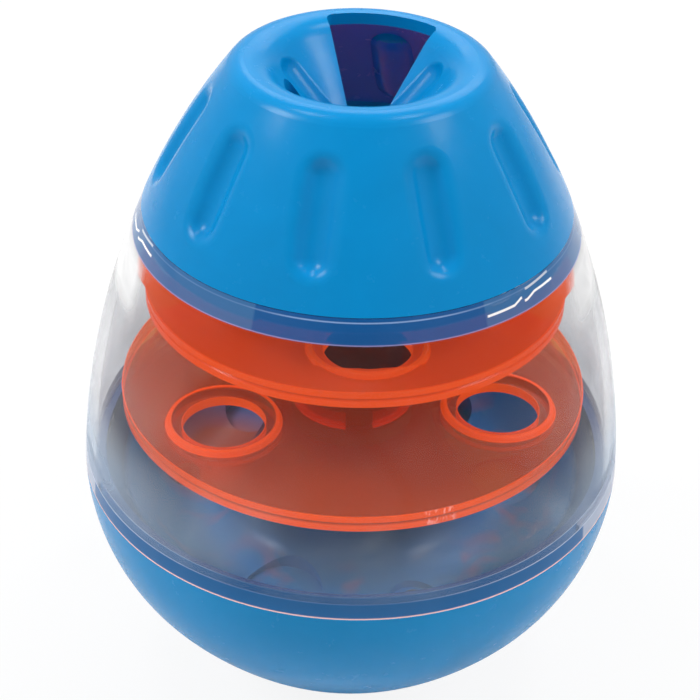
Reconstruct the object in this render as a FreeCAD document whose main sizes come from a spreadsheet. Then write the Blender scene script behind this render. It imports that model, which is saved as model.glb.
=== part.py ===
# Rolling treat dispenser: a weighted egg that rights itself and lets treats out of its crater.
# Millimetres, +Z up, origin at the centre of the small flat foot that the egg stands on.
# Front is -Y. A bearing is counted from the front, towards +X.
import FreeCAD, Part
import itertools
import math
import operator
import os

import Sketcher

Vector = FreeCAD.Vector
Rotation = FreeCAD.Rotation

SIZES = [
    ("body_radius", 60.0, "largest radius, at the seam between base and clear shell"),
    ("seam_height", 58.8, "seam above the foot"),
    ("seam_gap", 0.15, "parting gap between two shells"),
    ("foot_radius", 10.0, "flat foot under the base"),
    ("side_radius", 49.7, "base outline, upper arc"),
    ("haunch_radius", 105.0, "base outline, middle arc"),
    ("bottom_radius", 51.8, "base outline, bottom arc, centred on the axis"),
    ("base_wall", 2.6, "wall of the base bowl"),
    ("rim_depth", 4.2, "ledge in the bowl under its rim"),
    ("ledge_width", 1.9, "how far the ledge stands in from the rim"),
    ("seat_height", 6.0, "flat seat of the weight inside the bowl"),
    ("boss_radius", 5.2, "central boss in the bowl"),
    ("boss_drop", 0.3, "top of that boss below the weight's top"),
    ("loose_fit", 0.2, "gap between pieces that only lie together"),
    ("turn_gap", 0.3, "gap beside faces that turn past each other"),
    ("running_fit", 0.1, "radial clearance of a disc on its post"),
    ("thread_fit", 0.05, "radial clearance of a screw in its pilot hole"),
    ("weight_gap", 0.5, "gap between the weight and the bowl's wall"),
    ("weight_height", 15.0, "height of the weight"),
    ("weight_taper", 7.2, "height of its tapered part"),
    ("washer_radius", 9.0, "washer over the weight"),
    ("washer_height", 1.2, "thickness of that washer"),
    ("floor_wall", 2.2, "wall of the inner floor"),
    ("spigot_rise", 2.8, "ring of the inner floor above the seam"),
    ("spigot_wall", 1.8, "wall of that ring"),
    ("dish_rise", 0.5, "where the floor leaves its ring, above the seam"),
    ("dish_slope", 50.0, "slope of the floor's outer flank"),
    ("trough_curve", 12.0, "curve of the trough"),
    ("trough_depth", 16.0, "bottom of the trough below the seam"),
    ("hill_slope", 65.0, "slope of the central hill"),
    ("hill_shoulder", 4.0, "rounding at the top of the hill"),
    ("hill_rise", 7.6, "top of the hill above the seam"),
    ("floor_boss_radius", 6.0, "boss under the hill"),
    ("floor_boss_drop", 11.0, "height of that boss"),
    ("pocket_radius", 8.6, "round pockets in the trough"),
    ("pocket_inset", 18.3, "distance of the pockets' axes from the ring's bore"),
    ("pocket_sink", 0.9, "bottom of the pockets below the trough"),
    ("pocket_bearing", -22.0, "bearing of the first pocket"),
    ("well_radius", 5.8, "screw wells in the trough"),
    ("well_inset", 16.3, "distance of the wells' axes from the ring's bore"),
    ("well_sink", 1.6, "bottom of the screw wells below the trough"),
    ("well_bearing", 22.0, "bearing of the first screw well"),
    ("well_count", 3, "screw wells, and pockets"),
    ("tower_radius", 4.2, "screw towers in the bowl"),
    ("screw_radius", 1.5, "shank of the floor screws"),
    ("screw_hole", 1.8, "clearance hole of the floor screws"),
    ("screw_length", 13.0, "shank length of the floor screws"),
    ("crown_share", 0.33, "rounded share of a screw head's height"),
    ("socket_share", 0.5, "depth of a drive socket as a share of its head's height"),
    ("head_radius", 3.1, "head of the floor screws"),
    ("head_height", 2.2, "height of that head"),
    ("socket_radius", 1.3, "drive socket in the floor screws"),
    ("centre_screw_radius", 2.0, "shank of the weight screw and the post screw"),
    ("centre_screw_hole", 2.3, "clearance hole of those screws"),
    ("centre_screw_length", 12.0, "shank length of those screws"),
    ("centre_head_radius", 4.0, "head of those screws"),
    ("centre_head_height", 2.8, "height of those heads"),
    ("centre_socket_radius", 1.8, "drive socket in those heads"),
    ("shell_height", 62.0, "height of the clear shell above the seam"),
    ("shell_curve", 186.0, "outline of the clear shell"),
    ("shell_wall", 2.2, "wall of the clear shell"),
    ("collar_radius", 44.7, "outside of the clear shell's top edge"),
    ("collar_wall", 2.3, "wall of the clear shell's collar"),
    ("collar_depth", 7.0, "height of that bore"),
    ("collar_flare", 3.0, "height of the taper under the collar"),
    ("rim_wall", 2.6, "wall of the clear shell at its lower edge"),
    ("foot_depth", 4.0, "height of that bore"),
    ("lug_rise", 0.95, "how far a twist-lock lug stands out"),
    ("lug_height", 1.6, "height of a twist-lock lug"),
    ("lug_span", 27.0, "angle that a lug takes"),
    ("lug_play", 1.0, "angle left free beside a lug"),
    ("twist_angle", 28.0, "turn from locked to open"),
    ("cap_lug_bearing", 52.0, "bearing of the first cap lug, locked"),
    ("cap_lug_count", 3, "lugs on the cap"),
    ("base_lug_bearing", 98.5, "bearing of the first base lug"),
    ("base_lug_count", 2, "lugs on the base"),
    ("cap_rise", 32.1, "crest of the cap above the clear shell"),
    ("cap_curve", 150.0, "outline of the cap"),
    ("cap_lean", 24.0, "lean of the cap's wall at its lower edge"),
    ("cap_wall", 2.4, "wall of the cap"),
    ("cap_spigot", 4.6, "length of the cap's ring inside the collar"),
    ("cap_spigot_wall", 2.0, "wall of that ring"),
    ("lip_radius", 4.6, "outer rounding of the lip round the crater"),
    ("lip_inside", 7.2, "inner rounding of that lip"),
    ("crater_slope", 49.0, "slope of the crater's wall"),
    ("crater_tip", 3.0, "rounding at the crater's bottom"),
    ("window_root", 2.6, "inner edge of a treat window from the axis"),
    ("window_corner", 1.5, "rounding of a window's outer corners"),
    ("back_window_bearing", 167.5, "bearing of the large window"),
    ("back_window_angle", 67.0, "angle that it takes"),
    ("back_window_margin", 1.3, "its outer edge inside the lip's crest"),
    ("right_window_bearing", 42.5, "bearing of the small window on the right"),
    ("right_window_angle", 57.0, "angle that it takes"),
    ("right_window_margin", 7.8, "its outer edge inside the lip's crest"),
    ("left_window_bearing", -67.5, "bearing of the small window on the left"),
    ("left_window_angle", 57.0, "angle that it takes"),
    ("left_window_margin", 7.8, "its outer edge inside the lip's crest"),
    ("scoop_radius", 4.6, "scoop along each petal of the crater"),
    ("scoop_depth", 1.1, "depth of a scoop"),
    ("scoop_start", 4.4, "upper end of a scoop, down the slope"),
    ("scoop_length", 13.0, "length of a scoop"),
    ("scoop_edge", 1.2, "rounding of a scoop's edges"),
    ("right_scoop_bearing", 108.0, "bearing of the scoop in the right petal"),
    ("left_scoop_bearing", 250.0, "bearing of the scoop in the left petal"),
    ("front_scoop_bearing", -12.5, "bearing of the scoop in the front petal"),
    ("flute_count", 10, "finger flutes round the cap"),
    ("flute_bearing", -12.0, "bearing of the first flute"),
    ("flute_radius", 4.0, "radius of a flute"),
    ("flute_depth", 2.3, "depth of a flute"),
    ("flute_length", 15.6, "straight length of a flute"),
    ("flute_angle", 30.9, "place of a flute on the cap's outline"),
    ("flute_edge", 3.6, "rounding of a flute's edges"),
    ("post_radius", 11.7, "outside of the central post"),
    ("post_bore", 9.3, "bore of the central post"),
    ("hub_radius", 13.5, "foot of the post, hub of the discs and sleeve"),
    ("post_web", 2.4, "web inside the post's foot"),
    ("post_rise", 4.6, "post above the upper disc"),
    ("plate", 2.2, "thickness of a disc's plate"),
    ("rim_height", 3.5, "height of a disc's rim"),
    ("rim_width", 2.4, "width of a disc's rim"),
    ("rim_line", 0.35, "depth of the parting line in a disc's rim"),
    ("hub_drop", 4.5, "length of a disc's hub fingers under its plate"),
    ("hub_slot", 6.0, "slot between two hub fingers"),
    ("hole_count", 3, "treat holes in each disc"),
    ("ring_rise", 1.1, "height of the rib round a treat hole"),
    ("ring_wall", 1.5, "width of that rib at its foot"),
    ("ring_draft", 14.0, "draft of its outside"),
    ("ring_edge", 0.35, "rounding of its top"),
    ("lower_disc_height", 19.0, "top of the lower disc above the seam"),
    ("lower_disc_gap", 4.6, "gap between the lower disc and the clear shell"),
    ("lower_hole_reach", 34.0, "distance of its holes from the axis"),
    ("lower_hole_radius", 8.8, "radius of its holes"),
    ("lower_ring_radius", 12.2, "outside of the ribs round them"),
    ("lower_hole_bearing", 67.5, "bearing of its first hole"),
    ("upper_disc_drop", 17.1, "top of the upper disc below the clear shell's top"),
    ("upper_disc_gap", 4.3, "gap between the upper disc and the clear shell"),
    ("upper_hole_reach", 27.9, "distance of its holes from the axis"),
    ("upper_hole_radius", 8.8, "radius of its holes"),
    ("upper_ring_radius", 12.2, "outside of the ribs round them"),
    ("upper_hole_bearing", 5.8, "bearing of its first hole"),
    ("nut_height", 7.2, "height of the retaining nut"),
    ("nut_radius", 14.6, "radius of the retaining nut"),
    ("nut_dome", 2.0, "rounding at the nut's top"),
    ("grip_radius", 2.2, "finger grips round the nut"),
    ("grip_reach", 15.6, "distance of the grips from the axis"),
    ("grip_count", 8, "number of those grips"),
]

FRONT = -90.0
OVERCUT = 1.0
FULL_TURN = 360.0
TINY = 1e-6
NEAR = 1e-3
PROBES = (0.1, 0.5, 0.9)
WINDOWS = ("back", "right", "left")
SCOOPS = ("right", "left", "front")

doc = FreeCAD.newDocument("treat_dispenser")
sheet = doc.addObject("Spreadsheet::Sheet", "Sizes")
for row, (alias, value, meaning) in enumerate(SIZES, start=1):
    sheet.set(f"A{row}", meaning)
    sheet.set(f"B{row}", str(value))
    sheet.setAlias(f"B{row}", alias)
doc.recompute()
next_row = itertools.count(len(SIZES) + 1)

OPERATIONS = {"+": operator.add, "-": operator.sub, "*": operator.mul, "/": operator.truediv}


class Dim:
    """A size: its value now, and the expression that ties it to the sheet."""

    def __init__(self, value, text):
        self.value = float(value)
        self.text = text

    def __add__(self, other):
        return joined(self, "+", other)

    def __radd__(self, other):
        return joined(other, "+", self)

    def __sub__(self, other):
        return joined(self, "-", other)

    def __rsub__(self, other):
        return joined(other, "-", self)

    def __mul__(self, other):
        return joined(self, "*", other)

    def __rmul__(self, other):
        return joined(other, "*", self)

    def __truediv__(self, other):
        return joined(self, "/", other)

    def __rtruediv__(self, other):
        return joined(other, "/", self)


def as_dim(length):
    return length if isinstance(length, Dim) else Dim(length, repr(float(length)))


def joined(left, sign, right):
    left, right = as_dim(left), as_dim(right)
    value = OPERATIONS[sign](left.value, right.value)
    return Dim(value, f"({left.text} {sign} {right.text})")


def size(alias):
    return Dim(getattr(sheet, alias), f"Sizes.{alias}")


def kept(alias, dim):
    """A worked-out size that gets a row of its own in the sheet."""
    row = next(next_row)
    sheet.set(f"B{row}", "=" + dim.text.replace("Sizes.", ""))
    sheet.setAlias(f"B{row}", alias)
    sheet.recompute()
    return Dim(dim.value, f"Sizes.{alias}")


def cosine(angle):
    return Dim(math.cos(math.radians(angle.value)), f"cos({angle.text})")


def sine(angle):
    return Dim(math.sin(math.radians(angle.value)), f"sin({angle.text})")


def root(square):
    return Dim(math.sqrt(square.value), f"sqrt({square.text})")


def side_of(hypotenuse, other_side):
    """The third side of a right-angled triangle."""
    return root(hypotenuse * hypotenuse - other_side * other_side)


def moved(point, distance, outward, upward):
    """A point moved by a distance along a direction."""
    return (point[0] + distance * outward, point[1] + distance * upward)


def at_bearing(angle):
    """A bearing from the front as a turn about +Z from +X."""
    return angle + FRONT


def flat(corner):
    return Vector(corner[0].value, corner[1].value, 0)


def tie(feature, prop, dim):
    feature.setExpression(prop, as_dim(dim).text)


def origin_part(body, role):
    return [part for part in body.Origin.OriginFeatures if part.Role == role][0]


def new_body(label, height=None, turn=None):
    """A body whose own frame stands at a height and is turned about the axis."""
    body = doc.addObject("PartDesign::Body", label)
    body.Label = label
    if turn is not None:
        body.Placement = FreeCAD.Placement(Vector(), Rotation(Vector(0, 0, 1), turn.value))
        tie(body, "Placement.Rotation.Angle", turn)
    if height is not None:
        tie(body, "Placement.Base.z", height)
    return body


def new_sketch(body, name, plane, turn=None, lift=None):
    """A sketch on one of the body's own planes, turned about +Z and lifted off the plane."""
    sketch = body.newObject("Sketcher::SketchObject", name)
    sketch.AttachmentSupport = [(origin_part(body, plane), "")]
    sketch.MapMode = "FlatFace"
    if turn is not None:
        plumb = Vector(0, 1, 0) if plane == "XZ_Plane" else Vector(0, 0, 1)
        sketch.AttachmentOffset = FreeCAD.Placement(Vector(), Rotation(plumb, turn.value))
        tie(sketch, "AttachmentOffset.Rotation.Angle", turn)
    if lift is not None:
        tie(sketch, "AttachmentOffset.Base.z", lift)
    return sketch


def pin_point(sketch, index, end, x, y):
    """Tie one end of a sketch's piece to its place."""
    for kind, place, axis in (("DistanceX", x, -2), ("DistanceY", y, -1)):
        if abs(place.value) < TINY:
            sketch.addConstraint(Sketcher.Constraint("PointOnObject", index, end, axis))
            continue
        number = sketch.addConstraint(Sketcher.Constraint(kind, -1, 1, index, end, place.value))
        tie(sketch, f"Constraints[{number}]", place)


def pin_radius(sketch, index, radius):
    number = sketch.addConstraint(Sketcher.Constraint("Radius", index, radius.value))
    tie(sketch, f"Constraints[{number}]", radius)


class Outline:
    """A closed outline in a sketch, with each corner and radius tied to the sheet."""

    def __init__(self, sketch, x, y):
        self.sketch = sketch
        self.corners = [(as_dim(x), as_dim(y))]
        self.pieces = []
        self.heading = Vector()

    def line(self, x, y):
        here, there = self.corners[-1], (as_dim(x), as_dim(y))
        index = self.sketch.addGeometry(Part.LineSegment(flat(here), flat(there)))
        self.heading = (flat(there) - flat(here)).normalize()
        return self._add(index, 1, 2, there, "Coincident")

    def arc(self, x, y, radius, left=True):
        """A short arc whose centre lies to the left or to the right of the way."""
        there = (as_dim(x), as_dim(y))
        index = self._round(flat(there), radius.value, left)
        pin_radius(self.sketch, index, radius)
        return self._add(index, 1 if left else 2, 2 if left else 1, there, "Coincident")

    def tangent_arc(self, x, y):
        """An arc that carries on smoothly from the last piece."""
        there = (as_dim(x), as_dim(y))
        chord = flat(there) - flat(self.corners[-1])
        aside = self.heading.x * chord.y - self.heading.y * chord.x
        left = aside > 0
        index = self._round(flat(there), chord.Length ** 2 / abs(2 * aside), left)
        return self._add(index, 1 if left else 2, 2 if left else 1, there, "Tangent")

    def _add(self, index, begin, end, there, joint):
        self.pieces.append((index, begin, end, joint))
        self.corners.append(there)
        return self

    def _round(self, there, radius, left):
        here = flat(self.corners[-1])
        side = 1 if left else -1
        chord = there - here
        across = Vector(-chord.y, chord.x, 0).normalize() * side
        middle = (here + there) * 0.5
        centre = middle + across * math.sqrt(max(radius ** 2 - (chord.Length / 2) ** 2, 0))
        first, last = (here, there) if left else (there, here)
        begin = math.atan2(first.y - centre.y, first.x - centre.x)
        end = math.atan2(last.y - centre.y, last.x - centre.x)
        if end < begin:
            end += 2 * math.pi
        spoke = (there - centre).normalize()
        self.heading = Vector(-spoke.y, spoke.x, 0) * side
        circle = Part.Circle(centre, Vector(0, 0, 1), radius)
        return self.sketch.addGeometry(Part.ArcOfCircle(circle, begin, end))

    def close(self):
        if (flat(self.corners[0]) - flat(self.corners[-1])).Length > TINY:
            self.line(*self.corners[0])
        for number, (index, begin, end, joint) in enumerate(self.pieces):
            before, _, before_end, _ = self.pieces[number - 1]
            self.sketch.addConstraint(Sketcher.Constraint(joint, before, before_end, index, begin))
            pin_point(self.sketch, index, begin, *self.corners[number])
        return self.sketch

    def axis(self, first, last):
        """A construction line that a feature can turn about."""
        index = self.sketch.addGeometry(Part.LineSegment(flat(first), flat(last)), True)
        pin_point(self.sketch, index, 1, *first)
        pin_point(self.sketch, index, 2, *last)
        return self


def upright(body, name, x, y, turn=None):
    """An outline in the upright plane: x outwards, y up."""
    return Outline(new_sketch(body, name, "XZ_Plane", turn), x, y)


def disc_sketch(body, name, radius, lift, reach=None, turn=None):
    """A circle in a level plane, on the axis or at a distance from it."""
    sketch = new_sketch(body, name, "XY_Plane", turn, lift)
    reach = as_dim(0) if reach is None else reach
    centre = (reach, as_dim(0))
    index = sketch.addGeometry(Part.Circle(flat(centre), Vector(0, 0, 1), radius.value))
    pin_point(sketch, index, 3, *centre)
    pin_radius(sketch, index, radius)
    return sketch


def turned(body, sketch, name, angle=None, cut=False, axis="V_Axis"):
    """Turn an outline about an axis; a part turn lies evenly on both sides of the sketch."""
    feature = body.newObject("PartDesign::Groove" if cut else "PartDesign::Revolution", name)
    feature.Profile = sketch
    feature.ReferenceAxis = (sketch, [axis])
    feature.Angle = FULL_TURN
    if angle is not None:
        feature.Midplane = True
        tie(feature, "Angle", angle)
    return feature


def raised(body, sketch, name, length, draft=None):
    """Pad a level sketch upwards."""
    feature = body.newObject("PartDesign::Pad", name)
    feature.Profile = sketch
    tie(feature, "Length", length)
    if draft is not None:
        tie(feature, "TaperAngle", draft)
    return feature


def sunk(body, sketch, name, length, upward=False):
    """Cut a level sketch downwards, or upwards."""
    feature = body.newObject("PartDesign::Pocket", name)
    feature.Profile = sketch
    feature.Reversed = upward
    tie(feature, "Length", length)
    return feature


def ring_of(body, features, name, copies):
    """Repeat features evenly round the vertical axis."""
    pattern = body.newObject("PartDesign::PolarPattern", name)
    pattern.Originals = features
    pattern.Axis = (origin_part(body, "Z_Axis"), [""])
    pattern.Angle = FULL_TURN
    pattern.Occurrences = int(copies.value)
    tie(pattern, "Occurrences", copies)
    body.Tip = pattern
    return pattern


def rounded(body, name, radius, wanted):
    """Round each edge of the body that a test picks out."""
    doc.recompute()
    base = body.Tip
    edges = enumerate(base.Shape.Edges, start=1)
    names = [f"Edge{number}" for number, edge in edges if wanted(edge)]
    if not names:
        raise RuntimeError(f"{body.Label} has no edge for {name}")
    feature = body.newObject("PartDesign::Fillet", name)
    feature.Base = (base, names)
    tie(feature, "Radius", radius)
    return feature


def hollowed(label, form, hollow, height=None):
    """A moulding: its outer form with the hollow taken out of it."""
    cut = doc.addObject("Part::Cut", label)
    cut.Label = label
    cut.Base = form
    cut.Tool = hollow
    if height is not None:
        tie(cut, "Placement.Base.z", height)
    return cut


def lugs(body, name, radius, bottom, turn, copies):
    """Twist-lock lugs round a ring of a given radius."""
    root_radius = radius - size("lug_rise")
    tip = radius + size("lug_rise")
    top = bottom + size("lug_height")
    outline = upright(body, f"{name}_outline", root_radius, bottom, turn)
    outline.line(tip, bottom).line(tip, top).line(root_radius, top)
    lug = turned(body, outline.close(), name, size("lug_span"))
    return ring_of(body, [lug], f"{name}_ring", copies)


def tracks(body, name, bore, bottom, edge, opening, turn, copies):
    """Slots in a bore for lugs: a level run, and an entry from the edge where a lug goes in."""
    start = bore - OVERCUT
    tip = bore + size("lug_rise")
    top = bottom + size("lug_height") + size("turn_gap")
    low = bottom - size("turn_gap")
    run = upright(body, f"{name}_run_outline", start, low, turn + opening / 2)
    run.line(tip, low).line(tip, top).line(start, top)
    wide = size("lug_span") + 2 * size("lug_play")
    run_cut = turned(body, run.close(), f"{name}_run", wide + size("twist_angle"), cut=True)
    first, last = (low, edge) if edge.value > top.value else (edge, top)
    entry = upright(body, f"{name}_entry_outline", start, first, turn + opening)
    entry.line(tip, first).line(tip, last).line(start, last)
    entry_cut = turned(body, entry.close(), f"{name}_entry", wide, cut=True)
    return ring_of(body, [run_cut, entry_cut], f"{name}_ring", copies)


seam = size("seam_height")
foot_bore = size("body_radius") - size("rim_wall")
collar_bore = size("collar_radius") - size("collar_wall")
ring_radius = foot_bore - size("turn_gap")
ring_bore = ring_radius - size("spigot_wall")
well_reach = ring_bore - size("well_inset")
pocket_reach = ring_bore - size("pocket_inset")
trough = seam - size("trough_depth")
well_bottom = trough - size("well_sink")
hill_top = seam + size("hill_rise")
weight_top = size("seat_height") + size("weight_height")
tower_top = well_bottom - size("floor_wall") - size("loose_fit")
lower_top = seam + size("lower_disc_height")
upper_top = seam + size("shell_height") - size("upper_disc_drop")
hub_hang = size("plate") + size("hub_drop")
cap_ring_radius = collar_bore - size("turn_gap")
cap_shoulder = size("shell_height") + size("seam_gap")
cap_low = size("shell_height") - size("cap_spigot")


def bowl_centres():
    """Centres of the bowl's side, middle and bottom arcs, which run smoothly into each other."""
    side, middle, bottom = size("side_radius"), size("haunch_radius"), size("bottom_radius")
    side_centre = (size("body_radius") - side, seam)
    bottom_centre = (as_dim(0), kept("bottom_centre_up", side_of(bottom, size("foot_radius"))))
    out, up = side_centre[0], side_centre[1] - bottom_centre[1]
    span = kept("bowl_span", root(out * out + up * up))
    to_side, to_bottom = middle - side, middle - bottom
    along = kept("bowl_along", (to_side * to_side - to_bottom * to_bottom + span * span) / (2 * span))
    across = kept("bowl_across", side_of(to_side, along))
    middle_out = kept("middle_centre_out", side_centre[0] - (along * out + across * up) / span)
    middle_up = kept("middle_centre_up", side_centre[1] - (along * up - across * out) / span)
    return side_centre, (middle_out, middle_up), bottom_centre


side_centre, middle_centre, bottom_centre = bowl_centres()


def joint_of(centre, radius, other_centre, other_radius, offset):
    """Where an arc meets the wider one that it runs smoothly into, on a face an offset inside."""
    step = (radius - offset) / (other_radius - radius)
    return (centre[0] + (centre[0] - other_centre[0]) * step,
            centre[1] + (centre[1] - other_centre[1]) * step)


def bowl_joints(offset):
    """Joints of the bowl's arcs on a wall face that lies an offset inside the outer one."""
    middle = size("haunch_radius")
    side = joint_of(side_centre, size("side_radius"), middle_centre, middle, offset)
    haunch = joint_of(bottom_centre, size("bottom_radius"), middle_centre, middle, offset)
    return side, haunch


def shell_arc():
    """Centre of the clear shell's outline, above the seam."""
    foot, top = size("body_radius"), size("collar_radius")
    out, up = top - foot, size("shell_height")
    chord = kept("shell_chord", root(out * out + up * up))
    reach = kept("shell_reach", side_of(size("shell_curve"), chord / 2))
    centre_out = kept("shell_centre_out", (foot + top) / 2 - reach * up / chord)
    return centre_out, kept("shell_centre_up", up / 2 + reach * out / chord)


shell_centre = shell_arc()


def shell_bore(up):
    """Inside radius of the clear shell's wall at a height above the seam."""
    return shell_centre[0] + side_of(size("shell_curve") - size("shell_wall"), up - shell_centre[1])


def bowl_bore(up):
    """Inside radius of the bowl's bottom arc at a height above the foot."""
    return side_of(size("bottom_radius") - size("base_wall"), bottom_centre[1] - up)


def base_shell():
    """The weighted base's outer bowl, with a flat foot, a ledge, a boss and screw towers."""
    form = new_body("bowl_form")
    rim = seam - size("seam_gap")
    upper, middle, bottom = size("side_radius"), size("haunch_radius"), size("bottom_radius")
    side, haunch = bowl_joints(0)
    outline = upright(form, "bowl_outline", side_centre[0] + side_of(upper, size("seam_gap")), rim)
    outline.arc(*side, upper, left=False).arc(*haunch, middle, left=False)
    outline.arc(size("foot_radius"), 0, bottom, left=False).line(0, 0).line(0, rim)
    turned(form, outline.close(), "bowl_solid")
    turn = at_bearing(size("well_bearing"))
    pilot = size("screw_radius") + size("thread_fit")
    sketch = disc_sketch(form, "tower_pilot", pilot, tower_top + OVERCUT, well_reach, turn)
    hole = sunk(form, sketch, "tower_hole", size("screw_length") + OVERCUT)
    ring_of(form, [hole], "tower_holes", size("well_count"))
    pilot = size("centre_screw_radius") + size("thread_fit")
    boss_top = weight_top - size("boss_drop")
    sketch = disc_sketch(form, "boss_pilot", pilot, boss_top + OVERCUT)
    sunk(form, sketch, "boss_hole", size("centre_screw_length") + OVERCUT)

    hollow = new_body("bowl_hollow")
    wall = size("base_wall")
    side, haunch = bowl_joints(wall)
    ledge_bore = foot_bore - size("ledge_width")
    ledge = seam - size("rim_depth")
    ledge_foot = ledge - 2 * size("ledge_width")
    wall_top = side_centre[0] + side_of(upper - wall, seam - ledge_foot)
    outline = upright(hollow, "hollow_outline", foot_bore, rim + OVERCUT)
    outline.line(foot_bore, ledge).line(ledge_bore, ledge).line(wall_top, ledge_foot)
    outline.arc(*side, upper - wall, left=False).arc(*haunch, middle - wall, left=False)
    outline.arc(bowl_bore(size("seat_height")), size("seat_height"), bottom - wall, left=False)
    outline.line(size("boss_radius"), size("seat_height")).line(size("boss_radius"), boss_top)
    outline.line(0, boss_top).line(0, rim + OVERCUT)
    turned(hollow, outline.close(), "hollow_solid")
    sketch = disc_sketch(hollow, "tower_circle", size("tower_radius"), tower_top, well_reach, turn)
    tower = sunk(hollow, sketch, "tower", tower_top)
    ring_of(hollow, [tower], "towers", size("well_count"))
    return hollowed("base_shell", form, hollow)


def base_weight():
    """The cast weight: a tapered ring that sits low in the bowl."""
    body = new_body("base_weight", size("seat_height"))
    bore, top = size("boss_radius") + size("loose_fit"), size("weight_height")
    seat, taper, gap = size("seat_height"), size("weight_taper"), size("weight_gap")
    waist = bowl_bore(seat + taper) - gap
    outline = upright(body, "weight_outline", bore, 0)
    outline.line(bowl_bore(seat) - gap, 0).line(waist, taper).line(waist, top)
    outline.line(bore, top)
    turned(body, outline.close(), "weight")
    return body


def weight_washer():
    """The washer that spreads the weight screw's load."""
    body = new_body("weight_washer", weight_top)
    sketch = disc_sketch(body, "washer_circle", size("washer_radius"), 0)
    raised(body, sketch, "washer", size("washer_height"))
    sketch = disc_sketch(body, "washer_hole_circle", size("centre_screw_hole"), size("washer_height"))
    sunk(body, sketch, "washer_hole", size("washer_height"))
    return body


def screw(body, shank, length, head, height, socket, reach=None, turn=None):
    """A pan-head screw whose head rests on the body's own level plane."""
    reach = as_dim(0) if reach is None else reach
    crown = height * size("crown_share")
    outline = upright(body, f"{body.Label}_outline", reach, 0 - length, turn)
    outline.line(reach + shank, 0 - length).line(reach + shank, 0).line(reach + head, 0)
    outline.line(reach + head, height - crown).tangent_arc(reach + head - crown, height)
    outline.line(reach, height)
    if reach.value:
        outline.axis((reach, 0 - length), (reach, height))
    feature = turned(body, outline.close(), "screw", axis="Axis0" if reach.value else "V_Axis")
    sketch = disc_sketch(body, "socket_circle", socket, height, reach, turn)
    return [feature, sunk(body, sketch, "socket", height * size("socket_share"))]


def weight_screw():
    """The screw that holds the weight down to the bowl's boss."""
    body = new_body("weight_screw", weight_top + size("washer_height"))
    screw(body, size("centre_screw_radius"), size("centre_screw_length") - size("washer_height"),
          size("centre_head_radius"), size("centre_head_height"), size("centre_socket_radius"))
    return body


def floor_points(offset):
    """Joints of the inner floor's section on a face that lies an offset below the upper one."""
    dish, hill = size("dish_slope"), size("hill_slope")
    curve, shoulder = size("trough_curve"), size("hill_shoulder")
    centre_up = trough + curve
    dish_foot_up = centre_up - curve * cosine(dish)
    dish_top_up = seam + size("dish_rise")
    run = (dish_top_up - dish_foot_up) * cosine(dish) / sine(dish)
    centre_out = ring_bore - run - curve * sine(dish)
    outer = moved((centre_out, centre_up), curve + offset, sine(dish), 0 - cosine(dish))
    inner = moved((centre_out, centre_up), curve + offset, 0 - sine(hill), 0 - cosine(hill))
    crown_up = hill_top - shoulder
    climb = crown_up + shoulder * cosine(hill) - centre_up + curve * cosine(hill)
    crown_out = centre_out - curve * sine(hill) - climb * cosine(hill) / sine(hill) - shoulder * sine(hill)
    shoulder_point = moved((crown_out, crown_up), shoulder - offset, sine(hill), cosine(hill))
    return outer, inner, shoulder_point, crown_out


def floor_section(outline, offset):
    """Run an outline from the dish's flank over the trough and the hill to the hill's flat top."""
    outer, inner, shoulder_point, crown_out = floor_points(offset)
    outline.line(*outer).arc(*inner, size("trough_curve") + offset, left=False)
    outline.line(*shoulder_point)
    outline.arc(crown_out, hill_top - offset, size("hill_shoulder") - offset)


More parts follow.
